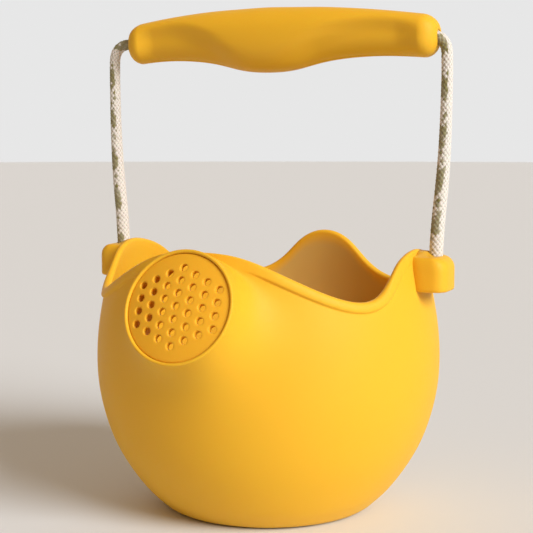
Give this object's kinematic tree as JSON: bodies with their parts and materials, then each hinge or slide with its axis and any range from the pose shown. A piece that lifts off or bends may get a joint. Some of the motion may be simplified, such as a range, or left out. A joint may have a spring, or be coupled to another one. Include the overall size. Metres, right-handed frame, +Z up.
{
  "type": "sand bucket",
  "caption": "Round silicone sand bucket with a lobed rim, a watering spout with a perforated rose, and a rope bail with a moulded grip.",
  "frame": {"origin": "centre of the flat base, on the floor", "axes": "+Z up the bowl's axis to the grip; the spout points along -Y; the two lugs stand at either end of the X axis, 3 mm behind it"},
  "size_m": [0.165, 0.1681, 0.2162],
  "materials": {
    "bucket_silicone": "soft matt moulded silicone",
    "rose_silicone": "soft matt moulded silicone",
    "grip_silicone": "soft matt moulded silicone",
    "rope_braid": "braided cord, off-white with olive flecks"
  },
  "bodies": {
    "bucket": {"bucket_body": "bucket_silicone", "sprinkler_rose": "rose_silicone", "rope_end_left": "rope_braid", "rope_end_right": "rope_braid", "knot_left": "rope_braid", "knot_right": "rope_braid"},
    "bail": {"rope": "rope_braid"},
    "grip": {"grip": "grip_silicone"}
  },
  "joints": [
    {"name": "bail_swing", "type": "hinge", "parent": "bucket", "child": "bail", "pos_m": [0, 0.003, 0.1176], "axis": [1, 0, 0], "range_deg": [-85, 78]},
    {"name": "grip_turn", "type": "hinge", "parent": "bail", "child": "grip", "pos_m": [0.0025, 0.003, 0.2022], "axis": [1, 0, 0], "continuous": true}
  ]
}
